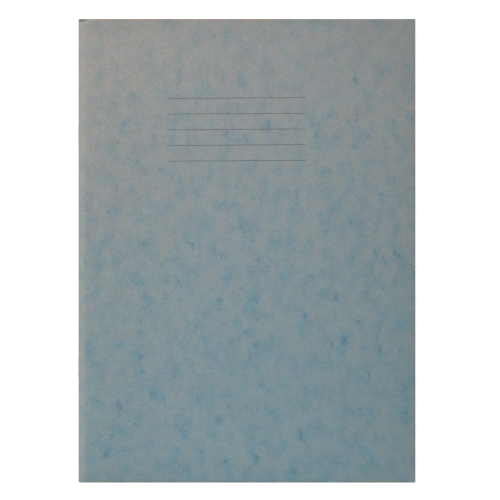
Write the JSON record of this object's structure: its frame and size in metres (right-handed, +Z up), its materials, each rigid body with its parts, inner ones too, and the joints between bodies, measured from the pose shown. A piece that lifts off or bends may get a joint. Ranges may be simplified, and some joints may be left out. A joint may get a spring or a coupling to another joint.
{
  "type": "notebook",
  "caption": "Stapled notebook: a folded mottled pressboard cover with ruled title lines, and folded paper leaves that turn at the spine.",
  "frame": {"origin": "middle of the underside of the closed notebook's box, which holds the crowns of the staples", "axes": "+X from the spine to the fore edge, +Y to the head of the page, +Z up out of the front cover"},
  "size_m": [0.2162, 0.297, 0.0066],
  "materials": {
    "cover_board": "glazed, mottled light blue-grey pressboard",
    "page_paper": "uncoated off-white writing paper",
    "staple_wire": "galvanised steel wire"
  },
  "bodies": {
    "back_cover": {"back_cover": "cover_board"},
    "last_leaf": {"leaf_48": "page_paper"},
    "back_leaves_outer": {"leaf_41": "page_paper", "leaf_42": "page_paper", "leaf_43": "page_paper", "leaf_44": "page_paper", "leaf_45": "page_paper", "leaf_46": "page_paper", "leaf_47": "page_paper"},
    "back_leaves_middle": {"leaf_33": "page_paper", "leaf_34": "page_paper", "leaf_35": "page_paper", "leaf_36": "page_paper", "leaf_37": "page_paper", "leaf_38": "page_paper", "leaf_39": "page_paper", "leaf_40": "page_paper"},
    "back_leaves_inner": {"leaf_25": "page_paper", "leaf_26": "page_paper", "leaf_27": "page_paper", "leaf_28": "page_paper", "leaf_29": "page_paper", "leaf_30": "page_paper", "leaf_31": "page_paper", "leaf_32": "page_paper", "staple_head": "staple_wire", "staple_tail": "staple_wire"},
    "front_leaves_inner": {"leaf_17": "page_paper", "leaf_18": "page_paper", "leaf_19": "page_paper", "leaf_20": "page_paper", "leaf_21": "page_paper", "leaf_22": "page_paper", "leaf_23": "page_paper", "leaf_24": "page_paper"},
    "front_leaves_middle": {"leaf_09": "page_paper", "leaf_10": "page_paper", "leaf_11": "page_paper", "leaf_12": "page_paper", "leaf_13": "page_paper", "leaf_14": "page_paper", "leaf_15": "page_paper", "leaf_16": "page_paper"},
    "front_leaves_outer": {"leaf_02": "page_paper", "leaf_03": "page_paper", "leaf_04": "page_paper", "leaf_05": "page_paper", "leaf_06": "page_paper", "leaf_07": "page_paper", "leaf_08": "page_paper"},
    "first_leaf": {"leaf_01": "page_paper"},
    "front_cover": {"front_cover": "cover_board"}
  },
  "joints": [
    {"name": "last_leaf_turn", "type": "hinge", "parent": "back_cover", "child": "last_leaf", "pos_m": [-0.10789, 0, 0.00332], "axis": [0, -1, 0], "range_deg": [0, 180]},
    {"name": "back_leaves_outer_turn", "type": "hinge", "parent": "last_leaf", "child": "back_leaves_outer", "pos_m": [-0.10789, 0, 0.00332], "axis": [0, -1, 0], "range_deg": [0, 180]},
    {"name": "back_leaves_middle_turn", "type": "hinge", "parent": "back_leaves_outer", "child": "back_leaves_middle", "pos_m": [-0.10789, 0, 0.00332], "axis": [0, -1, 0], "range_deg": [0, 180]},
    {"name": "back_leaves_inner_turn", "type": "hinge", "parent": "back_leaves_middle", "child": "back_leaves_inner", "pos_m": [-0.10789, 0, 0.00332], "axis": [0, -1, 0], "range_deg": [0, 180]},
    {"name": "front_leaves_inner_turn", "type": "hinge", "parent": "back_leaves_inner", "child": "front_leaves_inner", "pos_m": [-0.10789, 0, 0.00332], "axis": [0, -1, 0], "range_deg": [0, 180]},
    {"name": "front_leaves_middle_turn", "type": "hinge", "parent": "front_leaves_inner", "child": "front_leaves_middle", "pos_m": [-0.10789, 0, 0.00332], "axis": [0, -1, 0], "range_deg": [0, 180]},
    {"name": "front_leaves_outer_turn", "type": "hinge", "parent": "front_leaves_middle", "child": "front_leaves_outer", "pos_m": [-0.10789, 0, 0.00332], "axis": [0, -1, 0], "range_deg": [0, 180]},
    {"name": "first_leaf_turn", "type": "hinge", "parent": "front_leaves_outer", "child": "first_leaf", "pos_m": [-0.10789, 0, 0.00332], "axis": [0, -1, 0], "range_deg": [0, 180]},
    {"name": "front_cover_turn", "type": "hinge", "parent": "first_leaf", "child": "front_cover", "pos_m": [-0.10789, 0, 0.00332], "axis": [0, -1, 0], "range_deg": [0, 180]}
  ]
}
